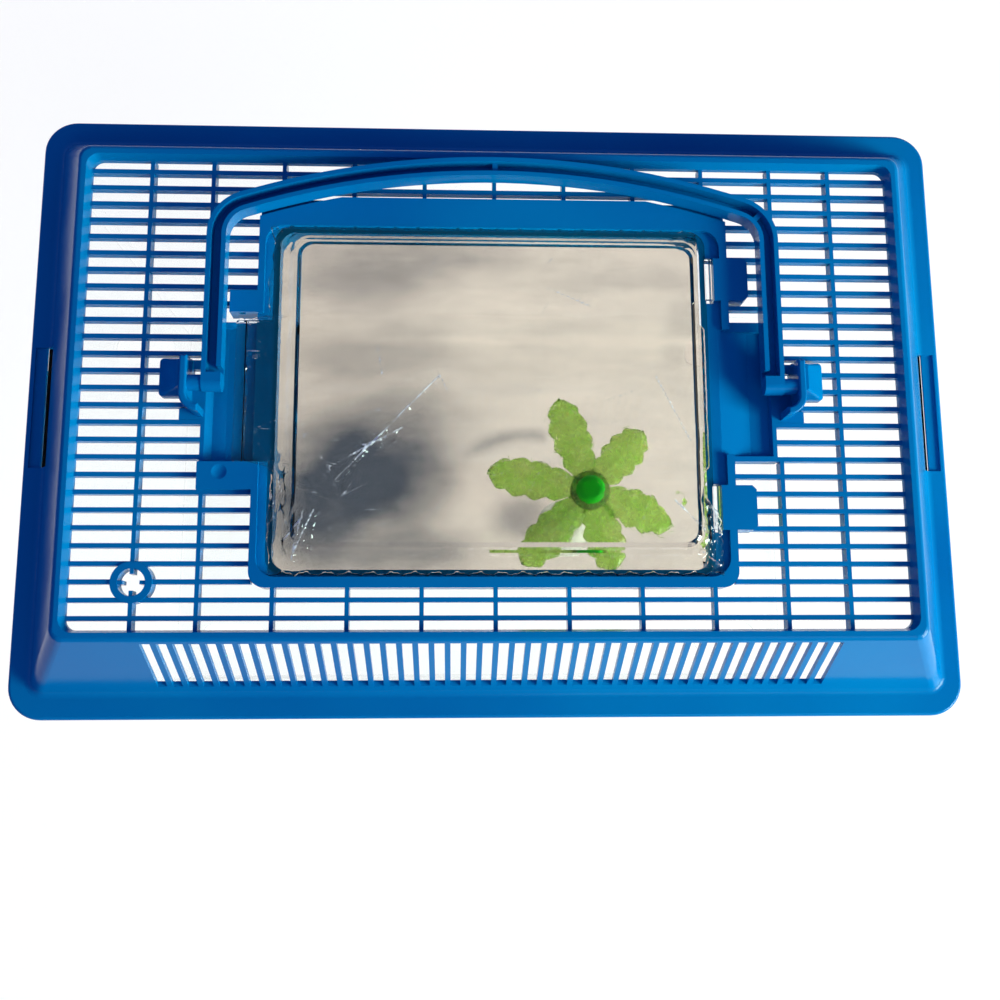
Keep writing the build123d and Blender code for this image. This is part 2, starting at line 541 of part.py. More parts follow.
    # Grille ribs, kept out of everything above
    for depth, across in ((ROW_DEPTH, True), (COL_DEPTH, False)):
        with BuildSketch(Plane.XY.offset(GRILLE_Z - depth)):
            if across:
                with GridLocations(0, ROW_PITCH, 1, ROW_COUNT):
                    Rectangle(PANEL_L + TRAY_WALL, ROW_RIB)
            else:
                with GridLocations(COL_PITCH, 0, 2 * COL_INNER + 1, 1):
                    Rectangle(COL_RIB, PANEL_W + TRAY_WALL)
                with GridLocations(2 * COL_END_X, 0, 2, 1):
                    Rectangle(COL_RIB, PANEL_W + TRAY_WALL)
                with Locations(((WING_RIGHT_X + ARM_IN) / 2, (WING_Y0 + WING_Y1) / 2)):
                    Rectangle(ARM_IN - WING_RIGHT_X, WING_Y1 - WING_Y0, mode=Mode.SUBTRACT)
            Rectangle(2 * (COLLAR_X - MERGE), 2 * (COLLAR_Y - MERGE), mode=Mode.SUBTRACT)
            for side, wing_x, y0, y1 in ((-1, WING_LEFT_X, PLATE_FRONT, PLATE_BACK),
                                         (1, WING_RIGHT_X, WING_Y0 + MERGE, WING_Y1 - MERGE)):
                with Locations((side * (wing_x - MERGE) / 2, (y0 + y1) / 2)):
                    Rectangle(wing_x - MERGE, y1 - y0, mode=Mode.SUBTRACT)
                with Locations((side * (wing_x + ARM_IN) / 2, (TOE_Y0 + PAD_Y1) / 2)):
                    Rectangle(ARM_IN - wing_x + MERGE, PAD_Y1 - TOE_Y0 - MERGE, mode=Mode.SUBTRACT)
            with Locations((PORT_X, PORT_Y)):
                Circle(PORT_R - MERGE, mode=Mode.SUBTRACT)
        extrude(amount=depth)

    # Slots through both long walls
    slot_y0 = PANEL_W / 2 + TRAY_WALL + SLOT_CLEAR
    slot_y1 = HOOD_BASE_W / 2
    slot_z0 = FLANGE_TOP + SLOT_SILL
    slot_z1 = GRILLE_Z + SLOT_TOP
    for side in (-1, 1):
        with Locations((0, side * (slot_y0 + slot_y1) / 2, (slot_z0 + slot_z1) / 2)):
            with GridLocations(SLOT_PITCH, 0, SLOT_COUNT, 1):
                Box(SLOT_W, slot_y1 - slot_y0, slot_z1 - slot_z0, mode=Mode.SUBTRACT)
lid.part.label = "lid"

# Carry handle: bent channel section with a pin at each foot
with BuildPart() as handle:
    with BuildSketch(Plane.XY.offset(PIVOT_Z - HANDLE_D / 2)):
        add(bow.sketch)
        offset(bow.sketch, amount=-HANDLE_T, mode=Mode.SUBTRACT)
        Rectangle(2 * (HANDLE_X - HANDLE_T), 3 * HANDLE_T, mode=Mode.SUBTRACT)
    extrude(amount=HANDLE_D)
    for depth, webbed in ((WEB_DROP, False), (CHANNEL_D, True)):
        with BuildSketch(Plane.XY.offset(PIVOT_Z + HANDLE_D / 2 - depth)):
            offset(bow.sketch, amount=-(HANDLE_T - CHANNEL_W) / 2)
            offset(bow.sketch, amount=-(HANDLE_T + CHANNEL_W) / 2, mode=Mode.SUBTRACT)
            Rectangle(2 * HANDLE_X, 2 * CHANNEL_START, mode=Mode.SUBTRACT)
            if webbed:
                Rectangle(WEB_T, 3 * HANDLE_Y, mode=Mode.SUBTRACT)
                with Locations(Location((HANDLE_X - WEB_IN_X, HANDLE_Y - WEB_IN_Y, 0), (0, 0, WEB_TURN))):
                    Rectangle(3 * HANDLE_T, WEB_T, mode=Mode.SUBTRACT)
        extrude(amount=depth, mode=Mode.SUBTRACT)
    for side in (-1, 1):
        rod(HANDLE_D / 2, HANDLE_T, side * (HANDLE_X - HANDLE_T / 2), 0, PIVOT_Z, (0, 90, 0))
        rod(HANDLE_PIN_R, HANDLE_PIN_L, side * (HANDLE_X + HANDLE_PIN_L / 2), 0, PIVOT_Z, (0, 90, 0))
handle.part.label = "handle"

# Clear hatch with raised middle, hinge plate, pins and latch tongues
with BuildPart() as hatch:
    slab(HATCH_L, HATCH_W, HATCH_CORNER, HATCH_Z, HATCH_TOP, HATCH_CX, HATCH_CY)
    for grow, base, mode in ((0, HATCH_TOP, Mode.ADD), (-HATCH_T, HATCH_Z, Mode.SUBTRACT)):
        high_l = PILLOW_L + 2 * (grow - PILLOW_BEVEL)
        high_w = PILLOW_W + 2 * (grow - PILLOW_BEVEL)
        with BuildSketch(Plane.XY.offset(base)) as low_end:
            with Locations((PILLOW_CX, PILLOW_CY)):
                RectangleRounded(PILLOW_L + 2 * grow, PILLOW_W + 2 * grow, HATCH_CORNER + grow / 2)
        with BuildSketch(Plane.XY.offset(base + PILLOW_RISE)) as high_end:
            with Locations((PILLOW_CX, PILLOW_CY)):
                RectangleRounded(high_l, high_w, HATCH_CORNER + (grow - PILLOW_BEVEL) / 2)
        loft([low_end.sketch.face(), high_end.sketch.face()], ruled=True, mode=mode)
    block(HINGE_X, HATCH_LEFT + MERGE, HINGE_PLATE_Y0, HINGE_PLATE_Y1, HATCH_Z, HATCH_TOP)
    rod(KNUCKLE_R, HINGE_PLATE_Y1 - HINGE_PLATE_Y0, HINGE_X, (HINGE_PLATE_Y0 + HINGE_PLATE_Y1) / 2,
        PIN_Z, (90, 0, 0))
    rod(HATCH_PIN_R, PIN_BACK - PIN_FRONT - 2 * PIN_SHORT, HINGE_X, (PIN_FRONT + PIN_BACK) / 2,
        PIN_Z, (90, 0, 0))
    for side in (-1, 1):
        latch_y = LATCH_SHIFT + side * TONGUE_Y
        block(HATCH_RIGHT - MERGE, KEEPER_X - HATCH_GAP, latch_y - TONGUE_W / 2, latch_y + TONGUE_W / 2,
              HATCH_Z, HATCH_Z + TONGUE_T)
hatch.part.label = "hatch"

# Protective film lying on the raised middle of the hatch
with BuildPart() as hatch_film:
    slab(PILLOW_L - 2 * FILM_INSET, PILLOW_W - 2 * FILM_INSET, HATCH_CORNER - FILM_INSET / 2,
         PILLOW_TOP + FILM_GAP, PILLOW_TOP + FILM_GAP + FILM_T, PILLOW_CX, PILLOW_CY)
hatch_film.part.label = "hatch_film"

# Plant: base, trunk, one moulding of six leaves, and the cap that holds them
with BuildPart() as plant_base:
    with Locations((PLANT_X, PLANT_Y, TANK_BED + BASE_H / 2)):
        Cone(BASE_R, BASE_TOP_R, BASE_H)
    fillet(plant_base.edges().group_by(Axis.Z)[-1], BASE_EDGE_R)
    with Locations((PLANT_X, PLANT_Y, TRUNK_LOW - BASE_SOCKET / 2)):
        Cylinder(SPIGOT_R + PIN_FIT, BASE_SOCKET, mode=Mode.SUBTRACT)
plant_base.part.label = "plant_base"

with BuildPart() as plant_trunk:
    with Locations((PLANT_X, PLANT_Y, (TRUNK_LOW + CROWN_Z) / 2)):
        Cone(TRUNK_R, TRUNK_TOP_R, CROWN_Z - TRUNK_LOW)
    spigot_z0 = TRUNK_LOW - BASE_SOCKET + PIN_SHORT
    spigot_z1 = CROWN_Z + HUB_T + CAP_SOCKET - PIN_SHORT
    with Locations((PLANT_X, PLANT_Y, (spigot_z0 + spigot_z1) / 2)):
        Cylinder(SPIGOT_R, spigot_z1 - spigot_z0)
plant_trunk.part.label = "plant_trunk"

with BuildPart() as plant_leaves:
    hub = Location((PLANT_X, PLANT_Y, CROWN_Z + HUB_T / 2))
    with Locations(hub):
        Cylinder(HUB_R, HUB_T)
    for angle, reach in zip(LEAF_TURNS, LEAF_REACHES):
        leaf_l = reach - HUB_R + LEAF_ROOT
        turn = Location((0, 0, -LEAF_T / 2), (0, 0, angle))
        with BuildSketch(Plane(hub * turn * Location((HUB_R - LEAF_ROOT, 0, 0), (0, LEAF_DROP, 0)))) as leaf:
            with Locations((leaf_l / 2, 0)):
                Rectangle(leaf_l - LEAF_BLADE_SHORT, LEAF_BLADE_W)
            for k, lobe in enumerate(LOBE_R):
                along = leaf_l * (k + LOBE_START) / (len(LOBE_R) + LOBE_START)
                with Locations((along, LEAF_W / 2 - lobe), (along, lobe - LEAF_W / 2)):
                    Circle(lobe)
            with Locations((leaf_l - LEAF_TIP_R, 0)):
                Circle(LEAF_TIP_R)
        extrude(leaf.sketch, amount=LEAF_T)
    with Locations(hub):
        Cylinder(SPIGOT_R + PIN_FIT, 2 * HUB_T, mode=Mode.SUBTRACT)
plant_leaves.part.label = "plant_leaves"

with BuildPart() as plant_cap:
    with Locations((PLANT_X, PLANT_Y, CROWN_Z + HUB_T + CAP_H / 2)):
        Cylinder(CAP_R, CAP_H)
    fillet(plant_cap.edges().group_by(Axis.Z)[-1], CAP_EDGE_R)
    with Locations((PLANT_X, PLANT_Y, CROWN_Z + HUB_T + CAP_SOCKET / 2)):
        Cylinder(SPIGOT_R + PIN_FIT, CAP_SOCKET, mode=Mode.SUBTRACT)
plant_cap.part.label = "plant_cap"

os.makedirs("parts", exist_ok=True)
export_step(tank.part, "parts/tank.step")
export_step(lid.part, "parts/lid.step")
export_step(handle.part, "parts/handle.step")
export_step(hatch.part, "parts/hatch.step")
export_step(hatch_film.part, "parts/hatch_film.step")
export_step(plant_base.part, "parts/plant_base.step")
export_step(plant_trunk.part, "parts/plant_trunk.step")
export_step(plant_leaves.part, "parts/plant_leaves.step")
export_step(plant_cap.part, "parts/plant_cap.step")
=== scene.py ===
# %% [markdown]
# # A plastic pet carrier
#
# The carrier is a clear tapered tank under a deep blue slotted lid. A clear hatch lies in the
# lid with its protective film still on, a folding handle lies round the hatch, and a small
# green plant stands inside. The CAD model gives every rigid part its real size, so this lesson
# is about finishes, the film, the leaves, light and the camera. It first loads the CAD parts.

# %% Load the frame
import math

import bmesh
import bpy
import numpy as np
from mathutils import Matrix, Vector


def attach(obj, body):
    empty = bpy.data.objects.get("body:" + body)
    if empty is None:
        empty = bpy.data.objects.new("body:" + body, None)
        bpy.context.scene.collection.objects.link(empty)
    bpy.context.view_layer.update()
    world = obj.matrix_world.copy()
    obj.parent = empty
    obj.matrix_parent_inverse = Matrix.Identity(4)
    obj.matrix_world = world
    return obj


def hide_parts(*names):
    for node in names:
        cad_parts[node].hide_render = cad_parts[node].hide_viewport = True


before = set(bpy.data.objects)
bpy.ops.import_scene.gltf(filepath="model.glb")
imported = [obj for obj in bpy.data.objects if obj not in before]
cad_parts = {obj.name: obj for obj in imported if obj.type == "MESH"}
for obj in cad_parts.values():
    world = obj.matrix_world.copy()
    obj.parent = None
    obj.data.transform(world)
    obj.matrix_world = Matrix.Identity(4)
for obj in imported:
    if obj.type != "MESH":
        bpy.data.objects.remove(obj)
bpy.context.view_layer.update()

MM = 0.001

print("nodes", sorted(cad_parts))

# %% [markdown]
# ## The camera
#
# The photograph was taken from almost straight above, from a little in front of the carrier,
# with the camera turned about its own axis. A camera can be placed by eye, but the long
# straight edges of the lid allow something better: a pinhole fit of the corners gives the
# place, the tilt, the turn and the lens. The three axes of the camera go into one matrix.

# %% Place the camera
CAMERA_PLACE = (-0.01519, -0.11076, 0.61996)
CAMERA_TILT = 0.17457
CAMERA_YAW = 0.24162
CAMERA_ROLL = -0.24079
SENSOR = 36.0
LENS = 39.6

turn = Matrix.Rotation(-CAMERA_YAW, 3, "Z")
across = turn @ Vector((1, 0, 0))
ahead = turn @ Vector((0, math.sin(CAMERA_TILT), -math.cos(CAMERA_TILT)))
upward = turn @ Vector((0, math.cos(CAMERA_TILT), math.sin(CAMERA_TILT)))
roll_cos, roll_sin = math.cos(CAMERA_ROLL), math.sin(CAMERA_ROLL)
image_right = across * roll_cos - upward * roll_sin
image_up = across * roll_sin + upward * roll_cos

camera_data = bpy.data.cameras.new("camera")
camera_data.sensor_width = SENSOR
camera_data.lens = LENS
camera_data.clip_start = 0.01
camera = bpy.data.objects.new("camera", camera_data)
bpy.context.scene.collection.objects.link(camera)
axes = Matrix((image_right, image_up, -ahead)).transposed().to_4x4()
camera.matrix_world = Matrix.Translation(CAMERA_PLACE) @ axes
bpy.context.scene.camera = camera
print("camera looks along", [round(v, 3) for v in ahead])

# %% [markdown]
# ## A helper for materials
#
# Every finish here is a small node tree, so the same few moves come back: a new material, a
# node with its values, a noise that reads the Object coordinates, and a ramp that turns the
# noise into two colours or two numbers. Written once, they keep the recipes below short.

# %% Node helpers
def new_finish(name):
    """A material with only its output, and the two ends that a recipe needs."""
    finish = bpy.data.materials.new(name)
    finish.use_nodes = True
    finish.node_tree.nodes.clear()
    output = finish.node_tree.nodes.new("ShaderNodeOutputMaterial")
    return finish, finish.node_tree, output


def add(tree, kind, settings=None, **sockets):
    """One node, with its settings and the values of the sockets that are named."""
    node = tree.nodes.new("ShaderNode" + kind)
    for key, value in (settings or {}).items():
        setattr(node, key, value)
    for key, value in sockets.items():
        node.inputs[key.replace("_", " ")].default_value = value
    return node


def object_noise(tree, scale, detail, stretch=(1, 1, 1), rough=0.5):
    """Noise over the Object coordinates; stretch draws its grain out along an axis."""
    where = add(tree, "TexCoord")
    mapping = add(tree, "Mapping", Scale=stretch)
    noise = add(tree, "TexNoise", Scale=scale, Detail=detail, Roughness=rough)
    tree.links.new(where.outputs["Object"], mapping.inputs["Vector"])
    tree.links.new(mapping.outputs["Vector"], noise.inputs["Vector"])
    return noise.outputs["Fac"]


def spread(tree, source, low, high, to_low, to_high):
    """Maps a noise between low and high to a number between to_low and to_high."""
    node = add(tree, "MapRange")
    ends = {"From Min": low, "From Max": high, "To Min": to_low, "To Max": to_high}
    for key, value in ends.items():
        node.inputs[key].default_value = value
    tree.links.new(source, node.inputs["Value"])
    return node.outputs["Result"]


def two_colours(tree, source, first, second):
    """Mixes two colours by a number between 0 and 1."""
    mix = add(tree, "Mix", {"data_type": "RGBA"})
    mix.inputs["A"].default_value = (*first, 1)
    mix.inputs["B"].default_value = (*second, 1)
    tree.links.new(source, mix.inputs["Factor"])
    return mix.outputs["Result"]


def bump(tree, height, strength, distance):
    """Turns a height into a bent normal; distance is in metres."""
    node = add(tree, "Bump", Strength=strength, Distance=distance)
    tree.links.new(height, node.inputs["Height"])
    return node.outputs["Normal"]


def wear(node, finish):
    """Puts one finish in every material slot of a CAD object."""
    for slot in node.material_slots:
        slot.material = finish
    print(node.name, "wears", finish.name)

# %% [markdown]
# ## Blue moulded plastic
#
# The lid and handle are injection moulded from one glossy, saturated blue. A flat blue would
# look like paint in a computer, so three faint things are added: a slow drift of the colour,
# long flow marks in the gloss, and a very shallow orange peel that bends the reflections of
# the lamps as a real mould surface does.

# %% Make the blue plastic
BLUE = (0.0, 0.22, 0.50)
BLUE_DEEP = (0.0, 0.165, 0.44)
BLUE_GLOSS = 0.25


def blue_plastic():
    finish, tree, output = new_finish("blue_plastic")
    shader = add(tree, "BsdfPrincipled", IOR=1.3)
    shader.inputs["Specular IOR Level"].default_value = BLUE_GLOSS
    drift = spread(tree, object_noise(tree, 9, 2), 0.35, 0.65, 0, 1)
    tree.links.new(two_colours(tree, drift, BLUE, BLUE_DEEP), shader.inputs["Base Color"])
    flow = object_noise(tree, 24, 3, stretch=(0.25, 1, 1))
    tree.links.new(spread(tree, flow, 0.3, 0.7, 0.13, 0.24), shader.inputs["Roughness"])
    peel = object_noise(tree, 260, 1)
    tree.links.new(bump(tree, peel, 0.25, 0.00015), shader.inputs["Normal"])
    tree.links.new(shader.outputs["BSDF"], output.inputs["Surface"])
    return finish


lid_blue = blue_plastic()
wear(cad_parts["lid"], lid_blue)
wear(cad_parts["handle"], lid_blue)

# %% [markdown]
# ## Clear plastic
#
# The tank and the hatch are clear. Glass in a path tracer throws a black shadow, because a
# lamp is hardly ever found through a wall that bends light. The usual cure is to let shadow
# rays pass: the shader is mixed with a Transparent one wherever Light Path says that the ray
# is a shadow ray. Faint haze in the roughness keeps the plastic from looking like crystal.

# %% Make the clear plastic
def let_lamps_through(tree, shader, output, tint):
    """Ends a see-through finish: shadow rays meet a plain tint instead of bending."""
    passing = add(tree, "BsdfTransparent", Color=(*tint, 1))
    ray = add(tree, "LightPath")
    mix = add(tree, "MixShader")
    tree.links.new(ray.outputs["Is Shadow Ray"], mix.inputs["Fac"])
    tree.links.new(shader.outputs["BSDF"], mix.inputs[1])
    tree.links.new(passing.outputs["BSDF"], mix.inputs[2])
    tree.links.new(mix.outputs["Shader"], output.inputs["Surface"])


def clear_plastic(name, tint, rough, bend):
    finish, tree, output = new_finish(name)
    shader = add(tree, "BsdfPrincipled", IOR=bend)
    shader.inputs["Transmission Weight"].default_value = 1.0
    shader.inputs["Base Color"].default_value = (*tint, 1)
    haze = object_noise(tree, 40, 3)
    tree.links.new(spread(tree, haze, 0.35, 0.7, rough[0], rough[1]), shader.inputs["Roughness"])
    ripple = object_noise(tree, 30, 1)
    tree.links.new(bump(tree, ripple, 0.15, 0.0004), shader.inputs["Normal"])
    let_lamps_through(tree, shader, output, tint)
    return finish


tank_clear = clear_plastic("tank_clear_plastic", (0.97, 0.985, 0.985), (0.0, 0.05), 1.49)
hatch_clear = clear_plastic("hatch_clear_plastic", (0.95, 0.96, 0.97), (0.0, 0.04), 1.3)
wear(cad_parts["tank"], tank_clear)
wear(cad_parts["hatch"], hatch_clear)

# %% [markdown]
# ## Green plastic of the plant
#
# The plant is soft translucent plastic. Light goes into it and comes out a little further on,
# so the leaves glow where they are thin. Subsurface scattering does that in the shader, and
# the light that passes right through is added for the leaves and the slim stalk. The small
# foot is clear. Refraction turns black where two clear solids touch, and the foot stands on
# the tank's floor, so it is made see-through with Alpha, which bends no light.

# %% Make the green plastics
FOOT_COVER = 0.3


def green_plastic(name, first, second, glow, through, rough):
    finish, tree, output = new_finish(name)
    shader = add(tree, "BsdfPrincipled", IOR=1.46)
    shader.inputs["Specular IOR Level"].default_value = 0.4
    shader.inputs["Subsurface Weight"].default_value = glow
    shader.inputs["Subsurface Radius"].default_value = (0.4, 1.0, 0.2)
    shader.inputs["Subsurface Scale"].default_value = 0.003
    shader.inputs["Transmission Weight"].default_value = through
    mottle = spread(tree, object_noise(tree, 90, 3), 0.35, 0.65, 0, 1)
    tree.links.new(two_colours(tree, mottle, first, second), shader.inputs["Base Color"])
    grain = object_noise(tree, 420, 2)
    tree.links.new(spread(tree, grain, 0.3, 0.7, rough[0], rough[1]), shader.inputs["Roughness"])
    tree.links.new(bump(tree, grain, 0.3, 0.0003), shader.inputs["Normal"])
    tree.links.new(shader.outputs["BSDF"], output.inputs["Surface"])
    return finish


leaf_green = green_plastic("leaf_green_plastic", (0.56, 0.97, 0.17), (0.72, 1.0, 0.27),
                           0.25, 0.72, (0.2, 0.35))
cap_green = green_plastic("cap_green_plastic", (0.0, 0.92, 0.005), (0.0, 1.0, 0.01),
                          0.2, 0.0, (0.35, 0.5))
stalk_green = green_plastic("stalk_green_plastic", (0.40, 0.80, 0.14), (0.48, 0.86, 0.20),
                            0.2, 0.6, (0.3, 0.5))
foot_clear = green_plastic("foot_clear_plastic", (0.80, 0.90, 0.76), (0.88, 0.95, 0.84),
                           0.0, 0.0, (0.1, 0.25))
foot_shader = foot_clear.node_tree.nodes["Principled BSDF"]
foot_shader.inputs["Alpha"].default_value = FOOT_COVER
wear(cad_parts["plant_cap"], cap_green)
wear(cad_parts["plant_trunk"], stalk_green)
wear(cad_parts["plant_base"], foot_clear)

# %% [markdown]
# ## One leaf
#
# A leaf of the plant is a thin blade with a scalloped edge, a raised midrib, side veins and a
# domed back. It is drawn as a grid: one direction runs from root to tip, the other from edge
# to edge, and every point asks a few curves how wide, how high and how thick it should be.
# Modelling it as a grid keeps the veins in the mesh, where they show from every side.

# %% Draw one leaf
LEAF_LENGTH = 48 * MM
LEAF_HALF_WIDTH = 9.6 * MM
LEAF_LOBES = 5
LEAF_WIDEST = 0.58
LEAF_THICK = 0.9 * MM
STEPS_ALONG = 60
STEPS_ACROSS = 20


def leaf_point(u, v):
    """Where the upper skin of the leaf is, u from root to tip and v from -1 to 1 across."""
    toward_tip = max(0.0, (u - LEAF_WIDEST) / (1 - LEAF_WIDEST))
    toward_root = max(0.0, (LEAF_WIDEST - u) / LEAF_WIDEST)
    body = math.sqrt(max(0.0, 1 - toward_tip ** 2.3)) * (1 - 0.66 * toward_root ** 1.6)
    scallop = 1 - 0.2 * (1 - abs(math.sin(math.pi * LEAF_LOBES * u)) ** 0.7)
    half = LEAF_HALF_WIDTH * body * scallop
    along = LEAF_LENGTH * u + 0.6 * MM * abs(v) * math.sin(2 * math.pi * LEAF_LOBES * u)
    rib = 0.55 * MM * math.exp(-(v / 0.10) ** 2) * (1 - 0.6 * u)
    side = 0.22 * MM * max(0.0, math.cos(2 * math.pi * LEAF_LOBES * (u - 0.09 * abs(v)))) ** 4
    arch = -4.0 * MM * u ** 1.7 - 1.6 * MM * v * v
    frill = 0.7 * MM * abs(v) ** 3 * math.sin(2 * math.pi * LEAF_LOBES * u + 1.2)
    return Vector((along, half * v, arch + rib + side * (1 - abs(v) ** 6) + frill))


def draw_leaf():
    mesh = bmesh.new()
    rows = []
    for i in range(STEPS_ALONG + 1):
        u = i / STEPS_ALONG
        across_leaf = [2 * j / STEPS_ACROSS - 1 for j in range(STEPS_ACROSS + 1)]
        rows.append([mesh.verts.new(leaf_point(u, v)) for v in across_leaf])
    for low, high in zip(rows, rows[1:]):
        for j in range(STEPS_ACROSS):
            mesh.faces.new((low[j], high[j], high[j + 1], low[j + 1]))
    bmesh.ops.recalc_face_normals(mesh, faces=mesh.faces)
    if sum(f.normal.z for f in mesh.faces) < 0:
        bmesh.ops.reverse_faces(mesh, faces=mesh.faces)
    bmesh.ops.solidify(mesh, geom=mesh.faces[:], thickness=LEAF_THICK)
    bmesh.ops.recalc_face_normals(mesh, faces=mesh.faces)
    data = bpy.data.meshes.new("leaf_blade")
    mesh.to_mesh(data)
    mesh.free()
    data.shade_smooth()
    blade = bpy.data.objects.new("leaf_blade", data)
    bpy.context.scene.collection.objects.link(blade)
    print("leaf", len(data.polygons), "faces", [round(d * 1000, 1) for d in blade.dimensions])
    return blade


leaf_blade = draw_leaf()

# %% [markdown]
# ## The crown of leaves
#
# The moulding carries six leaves round a hub, each turned and sized a little differently. That
# is what instancing is for: a point for each leaf holds its turn and its reach, and Geometry
# Nodes sets the one blade on every point. Instances are then made real, because an exported
# model keeps only real meshes.

# %% Build the leaf tree
PLANT_PLACE = Vector((47.0, -21.6, 125.4)) * MM
LEAF_TURNS = (48.0, 107.0, 168.0, 227.0, 287.0, 339.0)
LEAF_REACHES = (39.0, 46.5, 48.0, 46.0, 38.0, 42.0)
HUB_RADIUS = 8.4 * MM
HUB_EDGE = 0.8 * MM
HUB_HALF = 1.2 * MM


def leaf_tree():
    tree = bpy.data.node_groups.new("crown_of_leaves", "GeometryNodeTree")
    face = tree.interface
    face.new_socket("Geometry", in_out="INPUT", socket_type="NodeSocketGeometry")
    blade = face.new_socket("Blade", in_out="INPUT", socket_type="NodeSocketObject")
    finish = face.new_socket("Finish", in_out="INPUT", socket_type="NodeSocketMaterial")
    face.new_socket("Geometry", in_out="OUTPUT", socket_type="NodeSocketGeometry")
    make = tree.nodes.new
    source, sink = make("NodeGroupInput"), make("NodeGroupOutput")
    info, place = make("GeometryNodeObjectInfo"), make("GeometryNodeInstanceOnPoints")
    turn, reach = make("GeometryNodeInputNamedAttribute"), make("GeometryNodeInputNamedAttribute")
    turn.data_type = reach.data_type = "FLOAT_VECTOR"
    turn.inputs["Name"].default_value = "leaf_turn"
    reach.inputs["Name"].default_value = "leaf_reach"
    real, paint = make("GeometryNodeRealizeInstances"), make("GeometryNodeSetMaterial")
    join = tree.links.new
    join(source.outputs["Geometry"], place.inputs["Points"])
    join(source.outputs["Blade"], info.inputs["Object"])
    join(info.outputs["Geometry"], place.inputs["Instance"])
    join(turn.outputs["Attribute"], place.inputs["Rotation"])
    join(reach.outputs["Attribute"], place.inputs["Scale"])
    join(place.outputs["Instances"], real.inputs["Geometry"])
    join(real.outputs["Geometry"], paint.inputs["Geometry"])
    join(source.outputs["Finish"], paint.inputs["Material"])
    join(paint.outputs["Geometry"], sink.inputs["Geometry"])
    return tree, blade.identifier, finish.identifier


crown_tree, blade_input, finish_input = leaf_tree()
print("inputs", blade_input, finish_input)

# %% Set the leaves round the hub
def grow_crown():
    data = bpy.data.meshes.new("leaf_points")
    data.from_pydata([PLANT_PLACE] * len(LEAF_TURNS), [], [])
    turns = data.attributes.new("leaf_turn", "FLOAT_VECTOR", "POINT")
    reaches = data.attributes.new("leaf_reach", "FLOAT_VECTOR", "POINT")
    for k, (turn, reach) in enumerate(zip(LEAF_TURNS, LEAF_REACHES)):
        size = reach * MM / LEAF_LENGTH
        turns.data[k].vector = (0, 0, math.radians(turn))
        reaches.data[k].vector = (size, 1, 0.92 + 0.16 * (k % 2))
    points = bpy.data.objects.new("leaf_points", data)
    bpy.context.scene.collection.objects.link(points)
    grower = points.modifiers.new("crown", "NODES")
    grower.node_group = crown_tree
    grower[blade_input] = leaf_blade
    grower[finish_input] = leaf_green
    seen = points.evaluated_get(bpy.context.evaluated_depsgraph_get())
    crown = bpy.data.meshes.new_from_object(seen)
    points.modifiers.remove(grower)
    bpy.data.objects.remove(points)
    bpy.data.objects.remove(leaf_blade)
    return crown


def lathe(name, profile, centre, steps=48):
    """Closed turned shape from (radius, height) pairs that start and end on the axis."""
    mesh = bmesh.new()
    rings = []
    for radius, height in profile:
        if radius == 0:
            rings.append([mesh.verts.new(centre + Vector((0, 0, height)))])
            continue
        angles = [2 * math.pi * k / steps for k in range(steps)]
        ring = [Vector((radius * math.cos(a), radius * math.sin(a), height)) for a in angles]
        rings.append([mesh.verts.new(centre + place) for place in ring])
    for low, high in zip(rings, rings[1:]):
        for k in range(steps):
            here, after = k, k + 1
            loop = [low[here % len(low)], low[after % len(low)],
                    high[after % len(high)], high[here % len(high)]]
            mesh.faces.new(list(dict.fromkeys(loop)))
    bmesh.ops.recalc_face_normals(mesh, faces=mesh.faces)
    data = bpy.data.meshes.new(name)
    mesh.to_mesh(data)
    mesh.free()
    data.shade_smooth()
    return data


crown_mesh = grow_crown()
hub_mesh = lathe("hub", [(0, -HUB_HALF), (HUB_RADIUS, -HUB_HALF), (HUB_RADIUS + HUB_EDGE, 0),
                         (HUB_RADIUS, HUB_HALF), (0, HUB_HALF)], PLANT_PLACE)
both = bmesh.new()
both.from_mesh(crown_mesh)
both.from_mesh(hub_mesh)
both.to_mesh(crown_mesh)
both.free()
crown_mesh.materials.clear()
crown_mesh.materials.append(leaf_green)
for face in crown_mesh.polygons:
    face.material_index = 0
leaves = bpy.data.objects.new("plant_crown", crown_mesh)
bpy.context.scene.collection.objects.link(leaves)
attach(leaves, "tank")
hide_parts("plant_leaves")
print("crown", len(crown_mesh.polygons), "faces")

# %% [markdown]
# ## The protective film
#
# A new hatch wears a thin film that has not been peeled off. It lies on the raised middle,
# drops over the bevels to the margin, and runs on over the hinge plate, with sharp creases
# and crumpled corners that catch the light. A plain plane could not show that, and a cloth
# simulation would smooth the creases away, so the film is a fine grid whose height is written
# by rules: the hatch below it, long ridges for the creases, and ragged edges.

